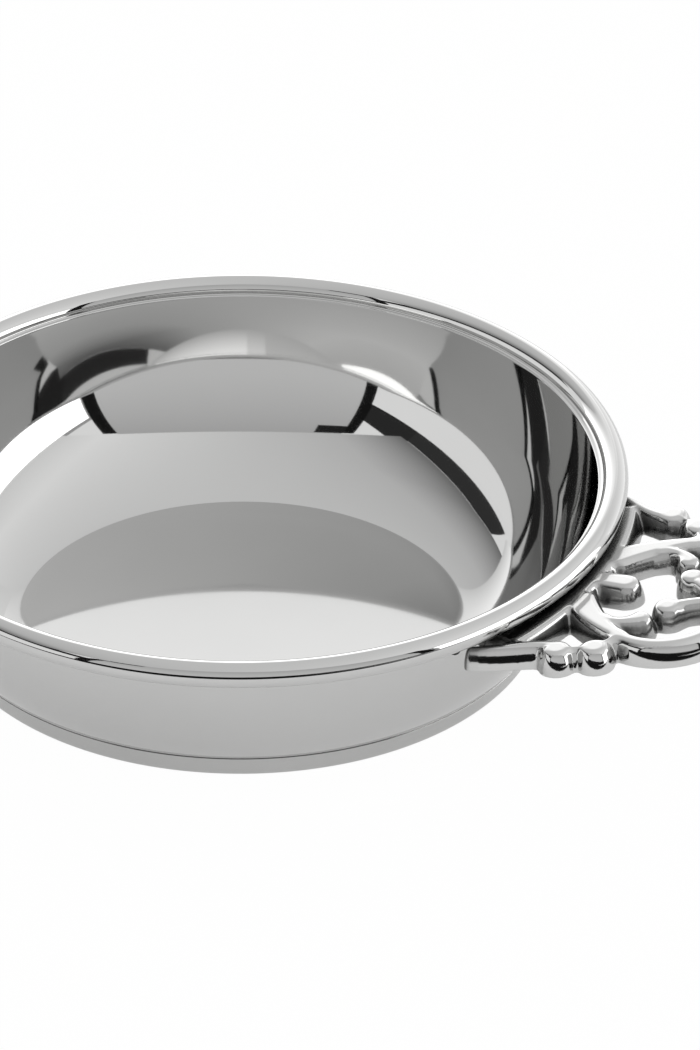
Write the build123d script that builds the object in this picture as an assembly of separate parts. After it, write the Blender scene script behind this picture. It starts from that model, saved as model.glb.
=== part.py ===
from build123d import *
from math import acos, asin, atan2, cos, degrees, radians, sin
import os

# Pewter porringer: a spun bowl with a beaded rim, a turned base ring and one cast openwork handle.
# Millimetres, +Z up. The origin is on the bowl's axis, in the plane that the base ring stands on.
# The handle points along +X.

# Rim
RIM_DIAMETER = 127.0
BEAD_DIAMETER = 4.25
BEAD_HEIGHT = 31.5

# Bowl, measured on its inside: floor, corner, wall and curled lip. The wall steepens from the corner
# past its waist to the foot of the curl. The lip ends inside the bead, and each inset and drop is
# measured from the point above it. Slopes are from the horizontal.
SHEET = 0.95
FLOOR_INSET = 28.3
FLOOR_HEIGHT = 1.4
FLOOR_DISH = 0.35
CORNER_RADIUS = 18.2
CORNER_SLOPE = 43.7
WAIST_INSET = 2.95
WAIST_DROP = 12.1
WAIST_SLOPE = 69.5
CURL_INSET = 2.05
CURL_DROP = 1.95
CURL_SLOPE = 83.1
LIP_INSET = 1.6
LIP_RISE = 0.5

# Base ring: a nearly upright band that stands proud of the wall, and the flat that it stands on
RING_HEIGHT = 8.4
RING_PROUD = 0.2
RING_FACE = 3.4
RING_TAPER = 0.8
RING_ROUND = 0.8
SEAT_OUTSET = 5.3
SEAT_WIDTH = 4.0

# Solder seams, by the length of the leg that they take on each side of the joint
RIM_SOLDER_LEG = 0.6
BASE_SOLDER_LEG = 0.5
HANDLE_SOLDER_LEG = 1.0

# Handle: a flat casting whose top plane starts below the rim and rises outwards
HANDLE_DROP = 2.7
HANDLE_RISE = 6.0
HANDLE_THICKNESS = 3.6
HANDLE_EDGE = 0.7
HANDLE_CORNER = 0.8
BRACKET_REACH = 1.4
BRACKET_DEPTH = 8.0
BRACKET_HALF_WIDTH = 25.8

# Handle pattern on one side of its axis. A place is (distance out from the rim, distance across),
# and a limb is a row of places with the width of the metal at each.
SCROLL_CENTRE = (15.8, 7.3)
SCROLL_RADIUS = 9.45
SCROLL_BAR = 3.5
SCROLL_FROM = -52.0
SCROLL_TO = 118.0
ROOT_LIMB = [((0.9, 7.3), 6.5), ((6.0, 12.2), 5.0), ((11.6, 15.8), 3.6)]
LEAF_LIMB = [((8.0, 12.0), 2.6), ((12.5, 9.3), 4.5)]
VOLUTE_LIMB = [((14.6, 4.9), 3.8), ((18.0, 2.6), 3.0), ((23.0, 0.8), 3.4)]
ARM_LIMB = [((-9.4, 26.8), 1.8), ((-5.1, 25.0), 2.6), ((0.0, 22.6), 3.0), ((3.9, 22.0), 3.2)]
INNER_BUTTON = (3.9, 22.9)
MIDDLE_BUTTON = (9.5, 20.6)
OUTER_BUTTON = (29.1, 10.4)
BUTTON_DIAMETER = 5.6
BUTTON_LINK = 2.0
BOSS_LIMB = [((0.0, 0.0), 5.2), ((5.0, 0.0), 5.3)]
TIP_CENTRE = (35.3, 0.0)
TIP_RADIUS = 7.6
TIP_BAR = 3.5
TIP_BOSS_LIMB = [((24.5, 0.0), 5.6), ((30.4, 0.0), 4.2)]
KNOB_DIAMETER = 5.2

RIM_RADIUS = RIM_DIAMETER / 2
BEAD_RADIUS = BEAD_DIAMETER / 2
BEAD_RING_RADIUS = RIM_RADIUS - BEAD_RADIUS
FLOOR_RADIUS = RIM_RADIUS - FLOOR_INSET
SEAT_OUTER_RADIUS = FLOOR_RADIUS + SEAT_OUTSET
SEAT_INNER_RADIUS = SEAT_OUTER_RADIUS - SEAT_WIDTH
BRACKET_HALF_ANGLE = degrees(asin(BRACKET_HALF_WIDTH / (RIM_RADIUS + BRACKET_REACH)))


def spun(face):
    """A profile drawn as (radius, height), spun about the bowl's axis."""
    return revolve(Plane.XZ * face, Axis.Z)


def heading(slope):
    return Vector(cos(radians(slope)), sin(radians(slope)))


def below(place, direction, depth):
    """A point of the section, moved by a depth into the sheet."""
    return Vector(*place) + Vector(direction.Y, -direction.X) * depth


def section_line(depth):
    """The bowl's section from its axis to its lip, at a depth into the sheet from the inside."""
    lip = Vector(BEAD_RING_RADIUS - LIP_INSET, BEAD_HEIGHT + LIP_RISE)
    curl_foot = lip - Vector(CURL_INSET, CURL_DROP)
    waist = curl_foot - Vector(WAIST_INSET, WAIST_DROP)
    floor_slope = 2 * degrees(atan2(FLOOR_DISH, FLOOR_RADIUS))
    lip_slope = 2 * degrees(atan2(CURL_DROP, CURL_INSET)) - CURL_SLOPE
    floor_edge = below((FLOOR_RADIUS, FLOOR_HEIGHT + FLOOR_DISH), heading(floor_slope), depth)
    floor = TangentArc((0, FLOOR_HEIGHT - depth), floor_edge, tangent=(1, 0))
    corner = JernArc(floor @ 1, heading(floor_slope), CORNER_RADIUS + depth, CORNER_SLOPE - floor_slope)
    wall_points = [
        corner @ 1,
        below(waist, heading(WAIST_SLOPE), depth),
        below(curl_foot, heading(CURL_SLOPE), depth),
    ]
    wall = Spline(*wall_points, tangents=[heading(CORNER_SLOPE), heading(WAIST_SLOPE), heading(CURL_SLOPE)])
    curl = TangentArc(wall @ 1, below(lip, heading(lip_slope), depth), tangent=heading(CURL_SLOPE))
    return Wire([floor, corner, wall, curl])


def sheet_face():
    """The bowl's section, between its inside and its outside."""
    outside = section_line(SHEET)
    lip_edge = Line(INNER_LINE @ 1, outside @ 1)
    centre_line = Line(INNER_LINE @ 0, outside @ 0)
    return make_face(INNER_LINE.edges() + outside.edges() + [lip_edge, centre_line])


INNER_LINE = section_line(0)
SHEET_FACE = sheet_face()
BEAD_FACE = Pos(BEAD_RING_RADIUS, BEAD_HEIGHT) * Circle(BEAD_RADIUS)


def hollow():
    """The space inside the bowl, as a profile."""
    lip = INNER_LINE @ 1
    top = BEAD_HEIGHT + BEAD_DIAMETER
    mouth = Polyline(lip, (lip.X, top), (0, top), INNER_LINE @ 0)
    return make_face(INNER_LINE.edges() + mouth.edges())


HOLLOW_FACE = hollow()


def outside_bowl(piece):
    """A piece with what would reach into the wall or through it cut away."""
    return piece - spun(SHEET_FACE) - spun(HOLLOW_FACE)


def wall_radius(height):
    """The outside radius of the wall at a height."""
    across = Line((0, height), (RIM_DIAMETER, height))
    return (SHEET_FACE & across).vertices().sort_by(Axis.X)[-1].X


def floor_underside(radius):
    """The height of the floor's underside at a radius."""
    upright = Line((radius, -BEAD_HEIGHT), (radius, BEAD_HEIGHT))
    return (SHEET_FACE & upright).vertices().sort_by(Axis.Y)[0].Y


def bowl():
    return spun(SHEET_FACE)


def rim_bead():
    return spun(BEAD_FACE - SHEET_FACE)


def rim_solder():
    """A fillet in the corner between the bead's underside and the wall."""
    corner = (BEAD_FACE - SHEET_FACE).vertices().sort_by(Axis.Y)[0].center()
    turn = atan2(corner.Y - BEAD_HEIGHT, corner.X - BEAD_RING_RADIUS) + RIM_SOLDER_LEG / BEAD_RADIUS
    on_bead = (BEAD_RING_RADIUS + BEAD_RADIUS * cos(turn), BEAD_HEIGHT + BEAD_RADIUS * sin(turn))
    low = corner.Y - RIM_SOLDER_LEG
    on_wall = (wall_radius(low), low)
    in_wall = (on_wall[0] - SHEET / 2, low)
    in_bead = (corner.X - SHEET / 2, corner.Y + BEAD_RADIUS / 2)
    fillet_face = make_face(Polyline(on_bead, on_wall, in_wall, in_bead, close=True))
    return spun(fillet_face - BEAD_FACE - SHEET_FACE - HOLLOW_FACE)


def base_ring():
    """An upright band with a rounded lower edge, sloping in to the flat that the porringer stands on."""
    ring_radius = wall_radius(RING_HEIGHT) + RING_PROUD
    low_edge = (ring_radius - RING_TAPER, RING_HEIGHT - RING_FACE)
    outline = Polyline(
        (SEAT_INNER_RADIUS, 0),
        (SEAT_OUTER_RADIUS, 0),
        low_edge,
        (ring_radius, RING_HEIGHT),
        (SEAT_INNER_RADIUS, RING_HEIGHT),
        close=True,
    )
    band = make_face(outline)
    band = fillet(band.vertices().sort_by_distance((*low_edge, 0))[0], RING_ROUND)
    return spun(band - SHEET_FACE - HOLLOW_FACE)


def base_solder():
    """A fillet in the corner between the base ring's inner edge and the floor's underside."""
    high = floor_underside(SEAT_INNER_RADIUS)
    inner = SEAT_INNER_RADIUS - BASE_SOLDER_LEG
    inner_high = floor_underside(inner)
    outline = Polyline(
        (SEAT_INNER_RADIUS, high - BASE_SOLDER_LEG),
        (SEAT_INNER_RADIUS, high + SHEET / 2),
        (inner, inner_high + SHEET / 2),
        (inner, inner_high),
        close=True,
    )
    return spun(make_face(outline) - SHEET_FACE)


def disc(place, diameter):
    return Pos(*place) * Circle(diameter / 2)


def tapered_bar(start, end):
    """Two round ends of their own widths and the straight sides that touch them both."""
    (x0, y0), width0 = start
    (x1, y1), width1 = end
    run = Vector(x1 - x0, y1 - y0)
    turn = atan2(run.Y, run.X)
    spread = acos((width0 - width1) / 2 / run.length)
    sides = [turn + spread, turn - spread]
    left0, right0 = [(x0 + width0 / 2 * cos(a), y0 + width0 / 2 * sin(a)) for a in sides]
    left1, right1 = [(x1 + width1 / 2 * cos(a), y1 + width1 / 2 * sin(a)) for a in sides]
    sides_face = make_face(Polyline(left0, right0, right1, left1, close=True))
    return sides_face + disc((x0, y0), width0) + disc((x1, y1), width1)


def limb(places):
    """A row of tapered bars, end to end."""
    return Sketch() + [tapered_bar(start, end) for start, end in zip(places, places[1:])]


def sector(radius, half_angle):
    """A wedge about the bowl's axis, symmetric about the handle's."""
    reach = radius / cos(radians(half_angle))
    ends = [(reach * cos(radians(a)), reach * sin(radians(a))) for a in (-half_angle, half_angle)]
    return Pos(-RIM_RADIUS, 0) * make_face(Polyline((0, 0), *ends, close=True))


def band_about_axis(inner, outer, half_angle):
    """A flat ring sector about the bowl's axis."""
    ring = Pos(-RIM_RADIUS, 0) * (Circle(outer) - Circle(inner))
    return ring & sector(outer, half_angle)


def scroll():
    """An open ring of even width between two angles."""
    outside = disc(SCROLL_CENTRE, 2 * SCROLL_RADIUS + SCROLL_BAR)
    ring = outside - disc(SCROLL_CENTRE, 2 * SCROLL_RADIUS - SCROLL_BAR)
    middle = radians((SCROLL_FROM + SCROLL_TO) / 2 + 180)
    gap = radians(360 - (SCROLL_TO - SCROLL_FROM)) / 2
    reach = 4 * SCROLL_RADIUS
    angles = [middle - gap, middle, middle + gap]
    wedge = Polyline((0, 0), *[(reach * cos(a), reach * sin(a)) for a in angles], close=True)
    return ring - Pos(*SCROLL_CENTRE) * make_face(wedge)


def link(start, end):
    """A narrow neck of metal between two places."""
    return tapered_bar((start, BUTTON_LINK), (end, BUTTON_LINK))


def nearest(centre, radius, place):
    """The point of a circle that is nearest to a place."""
    turn = atan2(place[1] - centre[1], place[0] - centre[0])
    return (centre[0] + radius * cos(turn), centre[1] + radius * sin(turn))


def handle_pattern():
    """The openwork seen from above, with the rim at x = 0 and the handle's axis along +X."""
    half = scroll() + limb(ROOT_LIMB) + limb(LEAF_LIMB) + limb(VOLUTE_LIMB) + limb(ARM_LIMB)
    half += disc(INNER_BUTTON, BUTTON_DIAMETER) + disc(MIDDLE_BUTTON, BUTTON_DIAMETER)
    half += disc(OUTER_BUTTON, BUTTON_DIAMETER)
    half += link(INNER_BUTTON, MIDDLE_BUTTON) + link(MIDDLE_BUTTON, ROOT_LIMB[-1][0])
    half += link(LEAF_LIMB[-1][0], VOLUTE_LIMB[0][0])
    half += link(OUTER_BUTTON, nearest(TIP_CENTRE, TIP_RADIUS, OUTER_BUTTON))
    half += link(OUTER_BUTTON, nearest(SCROLL_CENTRE, SCROLL_RADIUS, OUTER_BUTTON))
    bracket = band_about_axis(RIM_RADIUS - BRACKET_DEPTH, RIM_RADIUS + BRACKET_REACH, BRACKET_HALF_ANGLE)
    knob = disc((TIP_CENTRE[0] + TIP_RADIUS + KNOB_DIAMETER / 2 + TIP_BAR / 4, 0), KNOB_DIAMETER)
    tip = disc(TIP_CENTRE, 2 * TIP_RADIUS + TIP_BAR) + knob
    pattern = half + mirror(half, about=Plane.XZ) + bracket + limb(BOSS_LIMB) + tip
    pattern -= disc(TIP_CENTRE, 2 * TIP_RADIUS - TIP_BAR)
    return pattern + limb(TIP_BOSS_LIMB)


HANDLE_PLANE = Plane(
    origin=(RIM_RADIUS, 0, BEAD_HEIGHT - HANDLE_DROP),
    x_dir=(cos(radians(HANDLE_RISE)), 0, sin(radians(HANDLE_RISE))),
    z_dir=(-sin(radians(HANDLE_RISE)), 0, cos(radians(HANDLE_RISE))),
)


def handle():
    """The openwork casting, with rounded corners and top edges, cut to fit the wall and the bead."""
    filled = offset(handle_pattern(), HANDLE_CORNER)
    rounded = offset(offset(filled, -2 * HANDLE_CORNER), HANDLE_CORNER)
    plate = extrude(Pos(0, 0, -HANDLE_THICKNESS) * rounded, HANDLE_THICKNESS)
    plate = fillet(plate.faces().sort_by(Axis.Z)[-1].edges(), HANDLE_EDGE)
    return outside_bowl(HANDLE_PLANE * plate - spun(BEAD_FACE))


def handle_solder():
    """A fillet along the underside of the bracket, against the wall."""
    contact = wall_radius(BEAD_HEIGHT - HANDLE_DROP - HANDLE_THICKNESS)
    inner = contact - 3 * HANDLE_SOLDER_LEG
    outer = contact + HANDLE_SOLDER_LEG
    strip = band_about_axis(inner, outer, BRACKET_HALF_ANGLE)
    seam = extrude(Pos(0, 0, -HANDLE_THICKNESS) * strip, -HANDLE_SOLDER_LEG, taper=45)
    return outside_bowl(HANDLE_PLANE * seam)


NODES = {
    "bowl": bowl,
    "rim_bead": rim_bead,
    "rim_solder": rim_solder,
    "base_ring": base_ring,
    "base_solder": base_solder,
    "handle": handle,
    "handle_solder": handle_solder,
}

os.makedirs("parts", exist_ok=True)
for name, make in NODES.items():
    export_step(make(), f"parts/{name}.step")
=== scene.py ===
from math import asin, atan2, cos, hypot, pi, radians, sin

import bmesh
import bpy
import numpy as np
from mathutils import Matrix, Vector


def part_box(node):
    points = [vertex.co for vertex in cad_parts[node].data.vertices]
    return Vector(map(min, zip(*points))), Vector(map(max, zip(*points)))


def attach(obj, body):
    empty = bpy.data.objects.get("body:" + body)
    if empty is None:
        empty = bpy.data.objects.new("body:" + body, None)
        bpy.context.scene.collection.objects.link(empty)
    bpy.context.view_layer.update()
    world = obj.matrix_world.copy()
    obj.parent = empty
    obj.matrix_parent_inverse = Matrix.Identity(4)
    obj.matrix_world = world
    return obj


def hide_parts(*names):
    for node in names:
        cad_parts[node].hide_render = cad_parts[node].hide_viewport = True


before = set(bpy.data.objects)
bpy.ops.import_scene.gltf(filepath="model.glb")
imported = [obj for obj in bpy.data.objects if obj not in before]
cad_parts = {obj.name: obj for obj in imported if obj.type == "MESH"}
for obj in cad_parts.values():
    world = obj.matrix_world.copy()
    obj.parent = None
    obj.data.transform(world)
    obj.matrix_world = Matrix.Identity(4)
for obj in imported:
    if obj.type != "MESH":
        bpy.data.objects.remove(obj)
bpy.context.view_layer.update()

# Pewter porringer: spun bowl, beaded rim, turned base ring and a cast openwork handle.
# Piece sizes are in millimetres, and MM turns them into the scene's metres.
# The studio is in metres, in a frame turned so that the camera looks along +Y.

MM = 0.001

# Picture and camera
PHOTO_WIDTH = 700
PHOTO_HEIGHT = 1050
FOCAL_PIXELS = 8000
SENSOR = 36.0
RIM_PIXEL = (241.3, 472.75)
CAMERA_DEPTH = 1.3122
CAMERA_PITCH = 31.54
CAMERA_ROLL = 0.295
CAMERA_TURN = 25.8
STUDIO_TURN = Matrix.Rotation(radians(CAMERA_TURN), 4, "Z")

# Rim, taken from the frame
bead_low, bead_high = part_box("rim_bead")
RIM_RADIUS = bead_high.x / MM
BEAD_RADIUS = (bead_high.z - bead_low.z) / 2 / MM
BEAD_HEIGHT = (bead_high.z + bead_low.z) / 2 / MM
BEAD_RING_RADIUS = RIM_RADIUS - BEAD_RADIUS
BEAD_CENTRE = (BEAD_RING_RADIUS, BEAD_HEIGHT)

# Bowl, measured on its inside: floor, corner, wall with its waist and brow, and the lip in the bead
SHEET = 0.95
FLOOR_INSET = 28.26
FLOOR_RADIUS = RIM_RADIUS - FLOOR_INSET
FLOOR_HEIGHT = 1.46
FLOOR_DISH = 0.46
CORNER_RADIUS = 19.14
CORNER_SLOPE = radians(43.1)
WAIST_INSET = 6.29
WAIST_DROP = 13.64
BROW_INSET = 2.84
BROW_DROP = 0.35
BROW_ROUND = 0.2
LIP_SLOPE = radians(0.0)
LIP_LENGTH = 0.8
TUCK_LENGTH = 0.4

# Base ring
RING_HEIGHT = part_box("base_ring")[1].z / MM
RING_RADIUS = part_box("base_ring")[1].x / MM
RING_FACE = 3.4
RING_TAPER = 0.8
RING_ROUND = 0.8
RING_TOP_ROUND = 0.12
SEAT_OUTSET = 5.3
SEAT_WIDTH = 4.0
SEAT_OUTER_RADIUS = FLOOR_RADIUS + SEAT_OUTSET
SEAT_INNER_RADIUS = SEAT_OUTER_RADIUS - SEAT_WIDTH
SEAT_EDGE_ROUND = 0.3

# Solder seams and the hairline left between pieces that touch
RIM_SOLDER_LEG = 0.6
BASE_SOLDER_LEG = 0.5
HAIRLINE = 0.02

# Handle: plane, thickness, the swell of its tops, the bulge of its sides and the bracket on the wall
HANDLE_DROP = 2.7
HANDLE_RISE = radians(6.0)
HANDLE_THICKNESS = 3.6
HANDLE_SPREAD = 0.3
HANDLE_BULGE_RADIUS = 9.0
HANDLE_BAR_EDGE = 0.7
HANDLE_BUTTON_EDGE = 0.45
HANDLE_LOWER_EDGE = 0.2
HANDLE_CROWN = 0.45
HANDLE_CROWN_RUN = 1.7
HANDLE_BLEND = 0.9
HANDLE_FLOW = 1.2
BRACKET_REACH = 2.1
BRACKET_DEPTH = 8.0
BRACKET_HALF_WIDTH = 24.2
BRACKET_HALF_ANGLE = asin(BRACKET_HALF_WIDTH / (RIM_RADIUS + BRACKET_REACH))

# Handle pattern on one side of its axis: places are (out from the rim, across), limbs have widths too
SCROLL_CENTRE = (15.8, 7.3)
SCROLL_RADIUS = 9.45
SCROLL_BAR = 3.5
SCROLL_FROM = radians(-52.0)
SCROLL_TO = radians(118.0)
ROOT_LIMB = [((0.9, 7.3), 6.5), ((6.0, 12.2), 5.0), ((11.6, 15.8), 3.6)]
LEAF_LIMB = [((7.0, 11.6), 3.6), ((10.2, 11.5), 3.0), ((12.6, 9.6), 4.3)]
VOLUTE_LIMB = [((17.0, 3.6), 3.2), ((19.4, 2.0), 3.0), ((23.0, 0.8), 3.4)]
VOLUTE_END = (15.3, 5.0)
VOLUTE_DIAMETER = 5.1
ARM_LIMB = [((-9.4, 26.8), 1.8), ((-5.1, 25.0), 2.6), ((0.0, 22.6), 3.0), ((3.9, 22.0), 3.2)]
INNER_BUTTON = (3.9, 22.9)
MIDDLE_BUTTON = (9.5, 20.6)
OUTER_BUTTON = (29.1, 10.4)
BUTTON_DIAMETER = 5.6
BUTTON_LINK = 2.0
BOSS_LIMB = [((0.0, 0.0), 5.2), ((5.7, 0.0), 5.3)]
TIP_CENTRE = (35.3, 0.0)
TIP_RADIUS = 7.6
TIP_BAR = 3.5
TIP_BOSS_LIMB = [((24.5, 0.0), 5.6), ((30.4, 0.0), 4.2)]
KNOB_DIAMETER = 5.2
KNOB_CENTRE = (TIP_CENTRE[0] + TIP_RADIUS + KNOB_DIAMETER / 2 + TIP_BAR / 4, 0.0)

# Fineness of the meshes, and how the handle's points settle on its surface
SEGMENTS = 320
ARC_STEPS = 60
ROUND_STEPS = 8
BEAD_STEPS = 120
LIMB_STEPS = 10
HANDLE_CELL = 0.195
HANDLE_MERGE = 0.03
GRID_MARGIN = 1.0
GRID_BACK_MARGIN = 8.0
WALL_SLOPE_SHARE = 0.97
SETTLE_ROUNDS = 3
SETTLE_NUDGE = 0.01
SETTLE_LEAST_SLOPE = 0.25

# Finishes: smudges, turning lines, and painted shade with some tarnish in the handle's recesses
SMUDGE_SCALE = 45.0
SMUDGE_SPAN = (0.3, 0.7)
LINE_DRIFT = 0.8
# Painted shade with some tarnish: the handle's recesses turn towards a dark colour according to how
# sheltered they are
RECESS_SHADE_SAMPLES = 8
RECESS_SHADE_REACH = 14.0
RECESS_SHADE_CLEAR = 0.88
RECESS_SHADE_FULL = 0.42
SHADE_AND_TARNISH_COLOUR = (0.13, 0.13, 0.128, 1)
RECESS_ROUGHNESS = 0.2

# Studio: the planes that the cards stand on, the edges that cards share, and the floor
FRONT = -2.0
BACK = 2.0
LEFT = -2.0
RIGHT = 2.0
CEILING = 2.46
FAR_FRONT = -4.2
FAR_LEFT = -4.2
FAR_RIGHT = 6.0
FAR_BACK = 6.0
FRONT_CARD_LEFT = -1.74
GAP_LIFT = 0.02
LOW_FLAG = -2.2
LOW_FLAG_LIFT = 0.002
FLAG_FOOT = -0.1
FLAG_BACK = 2.6
SOFTBOX_TOP = 1.0
BACK_TOP = 1.5
BACK_REACH = 2.9
BACK_LIGHT_RIGHT = 0.1
BACK_EDGE_RIGHT = 0.5
OVERHEAD_LEFT = -1.64
OVERHEAD_RIGHT = 2.9
OVERHEAD_DIM = 0.64
OVERHEAD_BRIGHT = 1.0
BLACK = 0.01
FLOOR_SIZE = 3.0
FLOOR_COLOUR = (0.95, 0.95, 0.95, 1)
FLOOR_GLOW_SEEN = 0.985
FLOOR_GLOW_REFLECTED = 0.35


def link_object(name, mesh):
    piece = bpy.data.objects.new(name, mesh)
    bpy.context.scene.collection.objects.link(piece)
    return piece


def smooth_mesh(name, points, faces):
    """A mesh from points in millimetres, shaded smooth."""
    mesh = bpy.data.meshes.new(name)
    mesh.from_pydata((np.asarray(points) * MM).tolist(), [], faces)
    mesh.update()
    mesh.shade_smooth()
    return mesh


def on_circle(centre, radius, turn):
    return (centre[0] + radius * cos(turn), centre[1] + radius * sin(turn))


# Bowl profile, as a line of (radius, height, heading)

def tangent_arc(line, end):
    """Adds the arc that leaves a line smoothly and reaches an end."""
    radius, height, heading = line[-1]
    chord = atan2(end[1] - height, end[0] - radius)
    reach = hypot(end[0] - radius, end[1] - height)
    half_turn = chord - heading
    for step in np.linspace(0, 1, ARC_STEPS + 1)[1:]:
        turned = half_turn * step
        run = reach * sin(turned) / sin(half_turn)
        out = radius + run * cos(heading + turned)
        up = height + run * sin(heading + turned)
        line.append((out, up, heading + 2 * turned))


def corner_arc(line, bend, slope, steps):
    """Adds an arc of a given radius that turns a line to a slope."""
    radius, height, heading = line[-1]
    for angle in np.linspace(heading, slope, steps + 1)[1:]:
        out = radius + bend * (sin(angle) - sin(heading))
        up = height + bend * (cos(heading) - cos(angle))
        line.append((out, up, angle))


def straight(line, length):
    """Carries a line on for a length."""
    radius, height, heading = line[-1]
    line.append((radius + length * cos(heading), height + length * sin(heading), heading))


def bowl_wall():
    """The inside from its centre to the brow under the bead: arcs, each tangent to the one before."""
    line = [(0.0, FLOOR_HEIGHT, 0.0)]
    tangent_arc(line, (FLOOR_RADIUS, FLOOR_HEIGHT + FLOOR_DISH))
    corner_arc(line, CORNER_RADIUS, CORNER_SLOPE, ARC_STEPS)
    tangent_arc(line, (BEAD_RING_RADIUS - WAIST_INSET, BEAD_HEIGHT - WAIST_DROP))
    tangent_arc(line, (BEAD_RING_RADIUS - BROW_INSET, BEAD_HEIGHT - BROW_DROP))
    return line


def bowl_inside():
    """The inside, with the sharp brow and the narrow lip that runs into the bead."""
    line = bowl_wall()
    corner_arc(line, -BROW_ROUND, LIP_SLOPE, ROUND_STEPS)
    straight(line, LIP_LENGTH)
    return np.array(line)[:, :2]


def bowl_outside():
    """The outside, a sheet's thickness from the wall and tucked into the bead."""
    line = bowl_wall()
    straight(line, TUCK_LENGTH)
    line = np.array(line)
    return line[:, :2] + SHEET * np.column_stack((np.sin(line[:, 2]), -np.cos(line[:, 2])))


INSIDE = bowl_inside()
OUTSIDE = bowl_outside()


def wall_radius(height):
    """The outside radius of the wall at a height."""
    climb = OUTSIDE[OUTSIDE[:, 0] > FLOOR_RADIUS]
    return np.interp(height, climb[:, 1], climb[:, 0])


def floor_underside(radius):
    """The height of the bowl's underside at a radius."""
    return np.interp(radius, OUTSIDE[:, 0], OUTSIDE[:, 1])


# Turned pieces

def lathe(name, profile, closed=True):
    """Spins a profile of (radius, height): a closed section, or a line from the axis back to it."""
    angles = np.arange(SEGMENTS) * 2 * pi / SEGMENTS
    turn = np.column_stack((np.cos(angles), np.sin(angles)))
    rows = profile if closed else profile[1:-1]
    rings = [np.column_stack((radius * turn, np.full(SEGMENTS, height))) for radius, height in rows]
    points = np.concatenate(rings)
    lower = np.arange(len(points)).reshape(len(rows), SEGMENTS)
    after = np.roll(lower, -1, axis=1)
    quads = np.stack((lower, after, np.roll(after, -1, axis=0), np.roll(lower, -1, axis=0)), axis=-1)
    if closed:
        return smooth_mesh(name, points, quads.reshape(-1, 4).tolist())
    faces = quads[:-1].reshape(-1, 4).tolist()
    poles = [(0.0, 0.0, profile[0, 1]), (0.0, 0.0, profile[-1, 1])]
    first_pole = np.full(SEGMENTS, len(points))
    last_pole = first_pole + 1
    faces += np.column_stack((after[0], lower[0], first_pole)).tolist()
    faces += np.column_stack((lower[-1], after[-1], last_pole)).tolist()
    return smooth_mesh(name, np.concatenate((points, poles)), faces)


def bead_contact(line):
    """Where a line of the bowl meets the bead: the angle about the bead's middle."""
    gap = np.hypot(line[:, 0] - BEAD_RING_RADIUS, line[:, 1] - BEAD_HEIGHT) - BEAD_RADIUS
    step = np.where((gap[:-1] > 0) & (gap[1:] <= 0))[0][-1]
    share = gap[step] / (gap[step] - gap[step + 1])
    touch = line[step] + share * (line[step + 1] - line[step])
    return atan2(touch[1] - BEAD_HEIGHT, touch[0] - BEAD_RING_RADIUS)


def bead_profile():
    """The bead's round section, with the slot that the lip sits in."""
    start = bead_contact(OUTSIDE)
    end = bead_contact(INSIDE) % (2 * pi)
    angles = np.linspace(start, end, BEAD_STEPS)
    around = np.column_stack((np.cos(angles), np.sin(angles))) * BEAD_RADIUS + BEAD_CENTRE
    slot = [INSIDE[-1], OUTSIDE[-1]]
    return np.concatenate((around, slot))


def rounded(before, corner, after, bend):
    """Points of a round corner between two straight sides, as a smooth curve through its ends."""
    before, corner, after = (np.array(place, float) for place in (before, corner, after))
    start = corner + (before - corner) / np.linalg.norm(before - corner) * bend
    end = corner + (after - corner) / np.linalg.norm(after - corner) * bend
    t = np.linspace(0, 1, ROUND_STEPS)[:, None]
    return (1 - t) ** 2 * start + 2 * t * (1 - t) * corner + t ** 2 * end


def base_ring_profile():
    """The band, its rounded lower edge, the flat that it stands on and the seat against the bowl."""
    low_edge = (RING_RADIUS - RING_TAPER, RING_HEIGHT - RING_FACE)
    top_edge = (RING_RADIUS, RING_HEIGHT)
    top_inner = (wall_radius(RING_HEIGHT) + HAIRLINE, RING_HEIGHT)
    outer_foot = (SEAT_OUTER_RADIUS, 0.0)
    inner_foot = (SEAT_INNER_RADIUS, 0.0)
    inner_top = (SEAT_INNER_RADIUS, floor_underside(SEAT_INNER_RADIUS) - HAIRLINE)
    seat = OUTSIDE[(OUTSIDE[:, 0] > SEAT_INNER_RADIUS) & (OUTSIDE[:, 1] < RING_HEIGHT)][::-1]
    seat = seat + np.array([HAIRLINE, -HAIRLINE])
    return np.concatenate((
        rounded(inner_top, inner_foot, outer_foot, SEAT_EDGE_ROUND),
        rounded(inner_foot, outer_foot, low_edge, SEAT_EDGE_ROUND),
        rounded(outer_foot, low_edge, top_edge, RING_ROUND),
        rounded(low_edge, top_edge, top_inner, RING_TOP_ROUND),
        [top_inner],
        seat,
        [inner_top],
    ))


def rim_seam_profile():
    """A hollow fillet in the corner between the bead's underside and the wall."""
    start = bead_contact(OUTSIDE)
    bead_end = on_circle(BEAD_CENTRE, BEAD_RADIUS, start + RIM_SOLDER_LEG / BEAD_RADIUS)
    corner = on_circle(BEAD_CENTRE, BEAD_RADIUS, start)
    low = corner[1] - RIM_SOLDER_LEG
    wall_end = (wall_radius(low), low)
    face = rounded(wall_end, corner, bead_end, RIM_SOLDER_LEG)
    return np.concatenate(([wall_end], face[1:-1], [bead_end, corner]))


def base_seam_profile():
    """A hollow fillet in the corner between the base ring's inner edge and the bowl's underside."""
    corner = (SEAT_INNER_RADIUS, floor_underside(SEAT_INNER_RADIUS))
    on_ring = (SEAT_INNER_RADIUS, corner[1] - BASE_SOLDER_LEG)
    inner = SEAT_INNER_RADIUS - BASE_SOLDER_LEG
    on_floor = (inner, floor_underside(inner))
    face = rounded(on_floor, corner, on_ring, BASE_SOLDER_LEG)
    return np.concatenate(([on_floor], face[1:-1], [on_ring, corner]))


# Handle, as distances from its edge in millimetres, below zero in the metal

def joined(first, second, soft):
    """The union of two shapes, with a cast fillet where they meet."""
    share = np.clip(0.5 + 0.5 * (second - first) / soft, 0, 1)
    return second + (first - second) * share - soft * share * (1 - share)


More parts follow.
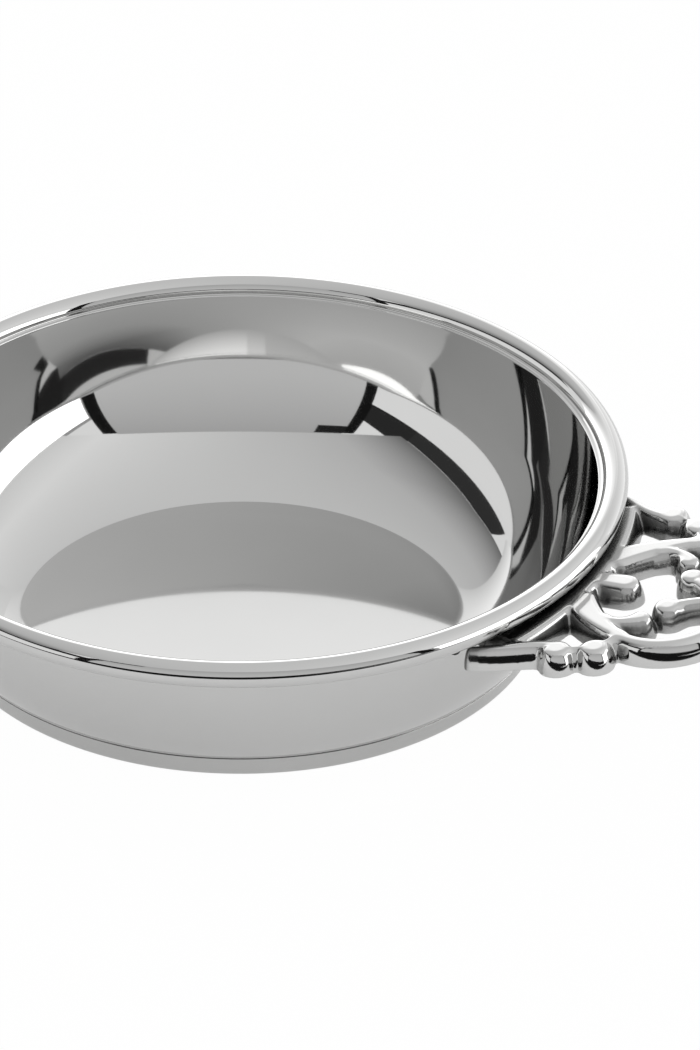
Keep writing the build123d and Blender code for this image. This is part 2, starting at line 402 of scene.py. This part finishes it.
def all_joined(shapes, soft):
    whole = shapes[0]
    for shape in shapes[1:]:
        whole = joined(whole, shape, soft)
    return whole


def disc(u, v, centre, diameter):
    return np.hypot(u - centre[0], v - centre[1]) - diameter / 2


def tapered_bar(u, v, start, end):
    (u0, v0), width0 = start
    (u1, v1), width1 = end
    run = (u1 - u0, v1 - v0)
    along = np.clip(((u - u0) * run[0] + (v - v0) * run[1]) / (run[0] ** 2 + run[1] ** 2), 0, 1)
    away = np.hypot(u - u0 - along * run[0], v - v0 - along * run[1])
    return away - (width0 + along * (width1 - width0)) / 2


def limb(u, v, places):
    """A bar that swells and bends smoothly through places, each with its width."""
    points = np.array([(*place, width) for place, width in places])
    along = np.cumsum(np.hypot(*np.diff(points[:, :2], axis=0, prepend=points[:1, :2]).T))
    bends = np.polyfit(along, points, len(points) - 1)
    steps = 1 if len(points) == 2 else LIMB_STEPS
    smooth = [np.polyval(bends, place) for place in np.linspace(0, along[-1], steps + 1)]
    bars = [tapered_bar(u, v, (a[:2], a[2]), (b[:2], b[2])) for a, b in zip(smooth, smooth[1:])]
    return np.minimum.reduce(bars)


def link(u, v, start, end):
    return tapered_bar(u, v, (start, BUTTON_LINK), (end, BUTTON_LINK))


def ring(u, v, centre, radius, bar):
    return np.abs(np.hypot(u - centre[0], v - centre[1]) - radius) - bar / 2


def scroll(u, v):
    """An open ring with round ends."""
    middle = (SCROLL_FROM + SCROLL_TO) / 2
    reach = (SCROLL_TO - SCROLL_FROM) / 2
    turn = np.arctan2(v - SCROLL_CENTRE[1], u - SCROLL_CENTRE[0]) - middle
    turn = np.abs((turn + pi) % (2 * pi) - pi)
    shape = ring(u, v, SCROLL_CENTRE, SCROLL_RADIUS, SCROLL_BAR)
    ends = [on_circle(SCROLL_CENTRE, SCROLL_RADIUS, angle) for angle in (SCROLL_FROM, SCROLL_TO)]
    caps = np.minimum(disc(u, v, ends[0], SCROLL_BAR), disc(u, v, ends[1], SCROLL_BAR))
    return np.where(turn < reach, shape, caps)


def bracket(u, v):
    """The curved plate that lies under the rim."""
    radius = np.hypot(u + RIM_RADIUS, v)
    past_end = (np.arctan2(v, u + RIM_RADIUS) - BRACKET_HALF_ANGLE) * radius
    outer = radius - RIM_RADIUS - BRACKET_REACH
    inner = RIM_RADIUS - BRACKET_DEPTH - radius
    return np.maximum(np.maximum(outer, inner), past_end)


def nearest(centre, radius, place):
    """The point of a circle that lies nearest to a place."""
    return on_circle(centre, radius, atan2(place[1] - centre[1], place[0] - centre[0]))


def pattern(u, v):
    """The openwork from above, and how round its upper edges are: soft on bars, crisp on buttons."""
    v = np.abs(v)
    bars = all_joined([
        scroll(u, v),
        limb(u, v, ROOT_LIMB),
        ring(u, v, TIP_CENTRE, TIP_RADIUS, TIP_BAR),
        link(u, v, INNER_BUTTON, MIDDLE_BUTTON),
        link(u, v, MIDDLE_BUTTON, ROOT_LIMB[-1][0]),
        link(u, v, OUTER_BUTTON, nearest(TIP_CENTRE, TIP_RADIUS, OUTER_BUTTON)),
        link(u, v, OUTER_BUTTON, nearest(SCROLL_CENTRE, SCROLL_RADIUS, OUTER_BUTTON)),
    ], HANDLE_FLOW)
    buttons = all_joined([
        limb(u, v, LEAF_LIMB),
        limb(u, v, VOLUTE_LIMB),
        disc(u, v, VOLUTE_END, VOLUTE_DIAMETER),
        limb(u, v, ARM_LIMB),
        limb(u, v, BOSS_LIMB),
        limb(u, v, TIP_BOSS_LIMB),
        disc(u, v, INNER_BUTTON, BUTTON_DIAMETER),
        disc(u, v, MIDDLE_BUTTON, BUTTON_DIAMETER),
        disc(u, v, OUTER_BUTTON, BUTTON_DIAMETER),
        disc(u, v, KNOB_CENTRE, KNOB_DIAMETER),
        bracket(u, v),
    ], HANDLE_BLEND)
    crisp = np.clip(0.5 + (bars - buttons) / HANDLE_BLEND, 0, 1)
    edge = HANDLE_BAR_EDGE + (HANDLE_BUTTON_EDGE - HANDLE_BAR_EDGE) * crisp
    return joined(bars, buttons, HANDLE_BLEND), edge


def to_part(u, v, w):
    """From the handle's own plane to the part's axes."""
    x = RIM_RADIUS + u * cos(HANDLE_RISE) - w * sin(HANDLE_RISE)
    z = BEAD_HEIGHT - HANDLE_DROP + u * sin(HANDLE_RISE) + w * cos(HANDLE_RISE)
    return x, v, z


def clear_of_bowl(x, y, z):
    """How far a point lies outside the leaning wall and the bead."""
    radius = np.hypot(x, y)
    wall = (radius - wall_radius(z)) * WALL_SLOPE_SHARE
    bead = np.hypot(radius - BEAD_RING_RADIUS, z - BEAD_HEIGHT) - BEAD_RADIUS
    return np.minimum(wall, bead)


def handle_distance(u, v, w, plan, upper_edge):
    """The casting: swelling tops, round edges, bulging sides, and a seat cut to the wall and bead."""
    top = HANDLE_CROWN * (1 - (1 + np.clip(plan / HANDLE_CROWN_RUN, -1, 0)) ** 2)
    climb = np.clip(w + HANDLE_THICKNESS, 0, HANDLE_THICKNESS)
    inset = HANDLE_BULGE_RADIUS - np.sqrt(HANDLE_BULGE_RADIUS ** 2 - climb ** 2)
    edge = np.where(w > -HANDLE_THICKNESS / 2, upper_edge, HANDLE_LOWER_EDGE)
    side = plan - HANDLE_SPREAD + inset + edge
    face = np.maximum(w - top, -HANDLE_THICKNESS - w) + edge
    inside = np.minimum(np.maximum(side, face), 0)
    casting = inside + np.hypot(np.maximum(side, 0), np.maximum(face, 0)) - edge
    return np.maximum(casting, HAIRLINE - clear_of_bowl(*to_part(u, v, w)))


def skin(field, step):
    """Points and quads of the surface where a field, given on a grid of a step, crosses zero."""
    shape = np.array(field.shape) - 1
    total = np.zeros((*shape, 3))
    count = np.zeros(shape)
    corners = [np.array(corner) for corner in np.ndindex(2, 2, 2)]

    def at(corner):
        return field[tuple(slice(c, c + n) for c, n in zip(corner, shape))]

    for low in corners:
        for axis in range(3):
            if low[axis]:
                continue
            high = low.copy()
            high[axis] = 1
            near, far = at(low), at(high)
            crossed = (near < 0) != (far < 0)
            share = np.where(crossed, near / np.where(crossed, near - far, 1), 0)
            for k in range(3):
                total[..., k] += crossed * (low[k] + (share if k == axis else 0))
            count += crossed
    active = count > 0
    index = np.full(shape, -1)
    index[active] = np.arange(active.sum())
    points = np.argwhere(active) + total[active] / count[active][:, None]
    quads = []
    for axis in range(3):
        b, c = (axis + 1) % 3, (axis + 2) % 3
        window = [slice(1, -1)] * 3
        window[axis] = slice(0, -1)
        ahead = list(window)
        ahead[axis] = slice(1, None)
        near, far = field[tuple(window)] < 0, field[tuple(ahead)] < 0
        edges = np.argwhere(near != far)
        leaving = near[near != far]
        edges[:, b] += 1
        edges[:, c] += 1
        ring_cells = []
        for back_b, back_c in ((1, 1), (0, 1), (0, 0), (1, 0)):
            cell = edges.copy()
            cell[:, b] -= back_b
            cell[:, c] -= back_c
            ring_cells.append(index[tuple(cell.T)])
        quad = np.stack(ring_cells, axis=-1)
        quad[~leaving] = quad[~leaving][:, ::-1]
        quads.append(quad)
    return points * step, np.concatenate(quads)


def settle(points):
    """Moves points of the handle onto its exact surface."""
    def distance(p):
        u, v, w = p.T
        return handle_distance(u, v, w, *pattern(u, v))

    for _ in range(SETTLE_ROUNDS):
        here = distance(points)
        nudged = [distance(points + SETTLE_NUDGE * axis) for axis in np.eye(3)]
        slope = (np.stack(nudged, axis=-1) - here[:, None]) / SETTLE_NUDGE
        steep = np.maximum((slope ** 2).sum(1), SETTLE_LEAST_SLOPE)
        move = -(here / steep)[:, None] * slope
        points = points + np.clip(move, -HANDLE_CELL / 2, HANDLE_CELL / 2)
    return points


def merge_close_points(mesh, gap):
    """Makes one of the points that have settled on the same place of a sharp edge."""
    shape = bmesh.new()
    shape.from_mesh(mesh)
    bmesh.ops.remove_doubles(shape, verts=shape.verts, dist=gap * MM)
    shape.to_mesh(mesh)
    shape.free()


def handle_mesh():
    """The openwork casting, found on a grid in its own plane and settled on the exact surface."""
    far_u = KNOB_CENTRE[0] + KNOB_DIAMETER / 2
    far_v = ARM_LIMB[0][0][1] + BUTTON_DIAMETER / 2
    low = np.array([-BRACKET_DEPTH - GRID_BACK_MARGIN, -far_v, -HANDLE_THICKNESS - GRID_MARGIN])
    high = np.array([far_u + GRID_MARGIN, far_v, HANDLE_CROWN + GRID_MARGIN])
    u, v, w = [np.arange(start, end, HANDLE_CELL) for start, end in zip(low, high)]
    plan, edge = pattern(*np.ix_(u, v))
    field = handle_distance(*np.ix_(u, v, w), plan[:, :, None], edge[:, :, None])
    points, quads = skin(field, HANDLE_CELL)
    points = settle(points + low)
    mesh = smooth_mesh("handle_cast", np.stack(to_part(*points.T), axis=-1), quads.tolist())
    merge_close_points(mesh, HANDLE_MERGE)
    return mesh


# Finishes

def add_node(tree, kind, **values):
    """A node with its properties and its input values set."""
    node = tree.nodes.new(kind)
    for key, value in values.items():
        if key in node.inputs:
            node.inputs[key].default_value = value
        else:
            setattr(node, key, value)
    return node


def feed(tree, value, socket):
    """Links a socket to another one, or sets its value."""
    if isinstance(value, bpy.types.NodeSocket):
        tree.links.new(value, socket)
    else:
        socket.default_value = value


def math_node(tree, operation, *values):
    node = add_node(tree, "ShaderNodeMath", operation=operation)
    for value, socket in zip(values, node.inputs):
        feed(tree, value, socket)
    return node.outputs[0]


def remap(tree, value, source, target, curve="LINEAR"):
    """Carries a value from one span to another."""
    node = add_node(tree, "ShaderNodeMapRange", interpolation_type=curve)
    for label, level in zip(("From Min", "From Max", "To Min", "To Max"), (*source, *target)):
        node.inputs[label].default_value = level
    tree.links.new(value, node.inputs["Value"])
    return node.outputs[0]


def colour_mix(tree, share, first, second):
    """A share between two colours, each a colour or a socket."""
    node = add_node(tree, "ShaderNodeMix", data_type="RGBA")
    tree.links.new(share, node.inputs["Factor"])
    sockets = [socket for socket in node.inputs if socket.type == "RGBA"]
    feed(tree, first, sockets[0])
    feed(tree, second, sockets[1])
    return next(socket for socket in node.outputs if socket.type == "RGBA")


def new_group(name, inputs, outputs):
    """An empty shader node group with named sockets: (name, kind, default)."""
    tree = bpy.data.node_groups.new(name, "ShaderNodeTree")
    for label, kind, value in inputs:
        socket = tree.interface.new_socket(label, in_out="INPUT", socket_type=kind)
        if value is not None:
            socket.default_value = value
    for label, kind in outputs:
        tree.interface.new_socket(label, in_out="OUTPUT", socket_type=kind)
    return tree, tree.nodes.new("NodeGroupInput"), tree.nodes.new("NodeGroupOutput")


def turning_lines_group():
    """Fine lines that run round the axis, as a lathe and a polishing mop leave them."""
    tree, given, result = new_group(
        "turning_lines",
        [("Vector", "NodeSocketVector", None), ("Lines per metre", "NodeSocketFloat", 1500.0)],
        [("Height", "NodeSocketFloat")],
    )
    lines = given.outputs["Lines per metre"]
    split = add_node(tree, "ShaderNodeSeparateXYZ")
    tree.links.new(given.outputs["Vector"], split.inputs[0])
    x, y, z = split.outputs
    square = math_node(tree, "ADD", math_node(tree, "MULTIPLY", x, x), math_node(tree, "MULTIPLY", y, y))
    radius = math_node(tree, "SQRT", square)
    angle = math_node(tree, "ARCTAN2", y, x)
    place = add_node(tree, "ShaderNodeCombineXYZ")
    tree.links.new(math_node(tree, "MULTIPLY", radius, lines), place.inputs[0])
    tree.links.new(math_node(tree, "MULTIPLY", z, lines), place.inputs[1])
    tree.links.new(math_node(tree, "MULTIPLY", angle, LINE_DRIFT), place.inputs[2])
    noise = add_node(tree, "ShaderNodeTexNoise", Scale=1.0, Detail=4.0, Roughness=0.6)
    tree.links.new(place.outputs[0], noise.inputs["Vector"])
    tree.links.new(noise.outputs["Fac"], result.inputs["Height"])
    return tree


def handling_group():
    """Soft smudges and a faint cloudiness from handling and wiping."""
    tree, given, result = new_group(
        "handling_marks",
        [("Vector", "NodeSocketVector", None), ("Scale", "NodeSocketFloat", SMUDGE_SCALE)],
        [("Smudge", "NodeSocketFloat")],
    )
    broad = add_node(tree, "ShaderNodeTexNoise", Detail=3.0, Roughness=0.55)
    tree.links.new(given.outputs["Vector"], broad.inputs["Vector"])
    tree.links.new(given.outputs["Scale"], broad.inputs["Scale"])
    tree.links.new(broad.outputs["Fac"], result.inputs["Smudge"])
    return tree


TURNING_LINES = turning_lines_group()
HANDLING_MARKS = handling_group()


def place_group(tree, group, vector, values):
    """The result of a group, placed in a material with the material's own values."""
    node = add_node(tree, "ShaderNodeGroup", node_tree=group, **values)
    tree.links.new(vector, node.inputs["Vector"])
    return node.outputs[0]


def shade_and_tarnish(tree, colour, roughness):
    """A metal's colour and roughness, darkened and dulled in sheltered recesses: painted shade, with
    some tarnish that the mop does not reach.
    """
    shelter = add_node(tree, "ShaderNodeAmbientOcclusion", samples=RECESS_SHADE_SAMPLES)
    shelter.inputs["Distance"].default_value = RECESS_SHADE_REACH * MM
    # Painted shade with some tarnish: the colour turns dark where the metal is sheltered
    shade_and_tarnish_mask = remap(tree, shelter.outputs["AO"], (RECESS_SHADE_CLEAR, RECESS_SHADE_FULL), (0, 1), "SMOOTHSTEP")
    dulling = math_node(tree, "MULTIPLY", shade_and_tarnish_mask, RECESS_ROUGHNESS)
    return colour_mix(tree, shade_and_tarnish_mask, colour, SHADE_AND_TARNISH_COLOUR), math_node(tree, "ADD", roughness, dulling)


def pewter(name, bright, dull, gloss, lines, line_depth, shaded_and_tarnished=False):
    """Pewter between a bright and a dull tone, with a span of roughness and turning lines of a depth."""
    material = bpy.data.materials.new(name)
    material.use_nodes = True
    tree = material.node_tree
    metal = tree.nodes["Principled BSDF"]
    metal.inputs["Metallic"].default_value = 1.0
    place = add_node(tree, "ShaderNodeTexCoord").outputs["Object"]
    smudge = place_group(tree, HANDLING_MARKS, place, {"Scale": SMUDGE_SCALE})
    colour = colour_mix(tree, smudge, (*bright, 1), (*dull, 1))
    roughness = remap(tree, smudge, SMUDGE_SPAN, gloss)
    # Painted shade with some tarnish in the recesses, where it is asked for
    if shaded_and_tarnished:
        colour, roughness = shade_and_tarnish(tree, colour, roughness)
    tree.links.new(colour, metal.inputs["Base Color"])
    tree.links.new(roughness, metal.inputs["Roughness"])
    height = place_group(tree, TURNING_LINES, place, {"Lines per metre": lines})
    bump = add_node(tree, "ShaderNodeBump", Strength=1.0, Distance=line_depth * MM)
    tree.links.new(height, bump.inputs["Height"])
    tree.links.new(bump.outputs["Normal"], metal.inputs["Normal"])
    return material


POLISHED_PEWTER = pewter(
    "polished_pewter",
    bright=(0.65, 0.65, 0.645),
    dull=(0.62, 0.62, 0.615),
    gloss=(0.03, 0.05),
    lines=1500.0,
    line_depth=0.0001,
)
TURNED_PEWTER = pewter(
    "turned_pewter",
    bright=(0.62, 0.62, 0.615),
    dull=(0.56, 0.56, 0.555),
    gloss=(0.16, 0.24),
    lines=3000.0,
    line_depth=0.002,
)
# The cast handle carries painted shade with some tarnish in its recesses
CAST_PEWTER = pewter(
    "cast_pewter",
    bright=(0.66, 0.66, 0.655),
    dull=(0.60, 0.60, 0.595),
    gloss=(0.05, 0.10),
    lines=1200.0,
    line_depth=0.0003,
    shaded_and_tarnished=True,
)
SOLDER = pewter(
    "solder",
    bright=(0.58, 0.58, 0.575),
    dull=(0.50, 0.50, 0.495),
    gloss=(0.20, 0.32),
    lines=900.0,
    line_depth=0.001,
)


# Pieces

def finish_piece(piece, node, material):
    piece.data.materials.append(material)
    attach(piece, "root")
    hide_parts(node)


def make_pieces():
    """Dresses every piece. The handle's solder stays the frame's own solid, with a finish."""
    bowl = lathe("bowl_spun", np.concatenate((OUTSIDE, INSIDE[::-1])), closed=False)
    pieces = [
        ("bowl", bowl, "polished_pewter", POLISHED_PEWTER),
        ("rim_bead", lathe("rim_bead_turned", bead_profile()), "polished_pewter", POLISHED_PEWTER),
        ("base_ring", lathe("base_ring_turned", base_ring_profile()), "turned_pewter", TURNED_PEWTER),
        ("rim_solder", lathe("rim_seam", rim_seam_profile()), "solder", SOLDER),
        ("base_solder", lathe("base_seam", base_seam_profile()), "solder", SOLDER),
        ("handle", handle_mesh(), "cast_pewter", CAST_PEWTER),
    ]
    for node, mesh, slot_name, material in pieces:
        finish_piece(link_object(mesh.name, mesh), node, material)
    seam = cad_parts["handle_solder"]
    seam.data.materials.clear()
    seam.data.materials.append(SOLDER)


# Studio

def place_camera():
    """The camera, placed so that the rim's middle falls on its pixel of the photograph."""
    camera = link_object("camera", bpy.data.cameras.new("camera"))
    camera.data.sensor_fit = "VERTICAL"
    camera.data.sensor_height = SENSOR
    camera.data.lens = SENSOR * FOCAL_PIXELS / PHOTO_HEIGHT
    tilt = Matrix.Rotation(pi / 2 - radians(CAMERA_PITCH), 4, "X")
    roll = Matrix.Rotation(radians(CAMERA_ROLL), 4, "Z")
    facing = STUDIO_TURN @ tilt @ roll
    right = (RIM_PIXEL[0] - PHOTO_WIDTH / 2) / FOCAL_PIXELS
    down = (RIM_PIXEL[1] - PHOTO_HEIGHT / 2) / FOCAL_PIXELS
    rim = Vector((0, 0, BEAD_HEIGHT * MM))
    offset = facing.to_3x3() @ (CAMERA_DEPTH * Vector((right, -down, -1)))
    camera.matrix_world = Matrix.Translation(rim - offset) @ facing
    bpy.context.scene.camera = camera


def flat_sheet(name, corners):
    mesh = bpy.data.meshes.new(name)
    mesh.from_pydata(corners, [], [(0, 1, 2, 3)])
    return link_object(name, mesh)


def stage_material(name):
    """A material with an empty tree, for the floor and the cards."""
    material = bpy.data.materials.new(name)
    material.use_nodes = True
    material.node_tree.nodes.clear()
    return material, material.node_tree


def show(tree, shader):
    """Makes a shader the surface of its material."""
    output = add_node(tree, "ShaderNodeOutputMaterial")
    tree.links.new(shader.outputs[0], output.inputs["Surface"])


def light_material(name, level, far_level, along):
    """A plain light of a level, or one that fades to a far level along an axis of the card's own box."""
    material, tree = stage_material(name)
    light = add_node(tree, "ShaderNodeEmission", Strength=level)
    if far_level is not None:
        split = add_node(tree, "ShaderNodeSeparateXYZ")
        tree.links.new(add_node(tree, "ShaderNodeTexCoord").outputs["Generated"], split.inputs[0])
        fade = remap(tree, split.outputs[along], (0, 1), (level, far_level))
        tree.links.new(fade, light.inputs["Strength"])
    show(tree, light)
    return material


def card(name, low, high, level, far_level=None, along=None):
    """A flat card of the studio between two corners, seen by the metal and not by the camera."""
    (x0, y0, z0), (x1, y1, z1) = low, high
    if z0 == z1:
        corners = [(x0, y0, z0), (x1, y0, z0), (x1, y1, z0), (x0, y1, z0)]
    else:
        corners = [(x0, y0, z0), (x1, y1, z0), (x1, y1, z1), (x0, y0, z1)]
    sheet = flat_sheet(name, corners)
    sheet.matrix_world = STUDIO_TURN
    sheet.visible_camera = False
    sheet.data.materials.append(light_material(name, level, far_level, along))


def make_cards():
    """Cards that light the metal, and the black flags between and behind them: corners, then levels."""
    gap = FRONT + GAP_LIFT
    card("front_card", (FRONT_CARD_LEFT, FRONT, 0.26), (2.43, FRONT, CEILING), 0.7, 0.52, "Z")
    card("front_card_gap", (FRONT_CARD_LEFT, gap, 2.0), (-1.16, gap, 2.4), 0.02)
    card("front_flag", (FAR_LEFT, FAR_FRONT, FLAG_FOOT), (FAR_RIGHT, FAR_FRONT, 5.0), BLACK)
    card("front_low_flag", (LOW_FLAG, LOW_FLAG, 0.0), (2.6, LOW_FLAG, 0.28), BLACK)
    card("table_flag", (LOW_FLAG, LOW_FLAG, LOW_FLAG_LIFT), (0.6, -0.2, LOW_FLAG_LIFT), BLACK)
    card("left_softbox", (LEFT, FRONT, 0.0), (LEFT, 1.56, SOFTBOX_TOP), 1.0)
    card("left_front_flag", (FAR_LEFT, FAR_FRONT, FLAG_FOOT), (FAR_LEFT, FRONT, 3.5), 0.03)
    card("left_flag", (FAR_LEFT, FRONT, FLAG_FOOT), (FAR_LEFT, FLAG_BACK, 2.85), 0.04)
    card("right_softbox", (RIGHT, -1.35, 0.0), (RIGHT, 1.1, SOFTBOX_TOP), 2.6)
    card("right_flag", (FAR_RIGHT, FAR_FRONT, FLAG_FOOT), (FAR_RIGHT, FLAG_BACK, 3.2), 0.4)
    back_cards = [
        ("back_light", -BACK_REACH, BACK_LIGHT_RIGHT, 3.0, 0.8),
        ("back_light_edge", BACK_LIGHT_RIGHT, BACK_EDGE_RIGHT, 2.1, 0.82),
        ("back_fill", BACK_EDGE_RIGHT, BACK_REACH, 1.3, 0.85),
    ]
    for name, left, right, level, far_level in back_cards:
        card(name, (left, BACK, 0.0), (right, BACK, BACK_TOP), level, far_level, "Z")
    overhead_cards = [
        ("overhead", OVERHEAD_LEFT, OVERHEAD_RIGHT, OVERHEAD_DIM, OVERHEAD_BRIGHT),
        ("overhead_left", -3.6, OVERHEAD_LEFT, 0.2, OVERHEAD_DIM),
        ("overhead_right", OVERHEAD_RIGHT, 5.0, OVERHEAD_BRIGHT, 0.85),
    ]
    for name, left, right, level, far_level in overhead_cards:
        card(name, (left, FRONT, CEILING), (right, FAR_BACK, CEILING), level, far_level, "X")


def make_floor():
    """A plain pale floor. It shows white, and keeps the shadow that falls on it."""
    corners = [(x * FLOOR_SIZE, y * FLOOR_SIZE, 0) for x, y in ((-1, -1), (1, -1), (1, 1), (-1, 1))]
    floor = flat_sheet("floor", corners)
    material, tree = stage_material("pale_floor")
    path = add_node(tree, "ShaderNodeLightPath")
    seen = math_node(tree, "MULTIPLY", path.outputs["Is Camera Ray"], FLOOR_GLOW_SEEN)
    bent = math_node(tree, "MAXIMUM", path.outputs["Is Glossy Ray"], path.outputs["Is Transmission Ray"])
    reflected = math_node(tree, "MULTIPLY", bent, FLOOR_GLOW_REFLECTED)
    matt = add_node(tree, "ShaderNodeBsdfDiffuse", Color=FLOOR_COLOUR)
    white = add_node(tree, "ShaderNodeEmission", Strength=1.0)
    mix = add_node(tree, "ShaderNodeMixShader")
    tree.links.new(math_node(tree, "MAXIMUM", seen, reflected), mix.inputs["Fac"])
    tree.links.new(matt.outputs[0], mix.inputs[1])
    tree.links.new(white.outputs[0], mix.inputs[2])
    show(tree, mix)
    floor.data.materials.append(material)


def make_world():
    """A plain white surround."""
    world = bpy.data.worlds.new("surround")
    world.use_nodes = True
    world.node_tree.nodes["Background"].inputs["Color"].default_value = (1, 1, 1, 1)
    world.node_tree.nodes["Background"].inputs["Strength"].default_value = 1.0
    bpy.context.scene.world = world


make_pieces()
place_camera()
make_cards()
make_floor()
make_world()
bpy.context.scene.view_settings.view_transform = "Standard"
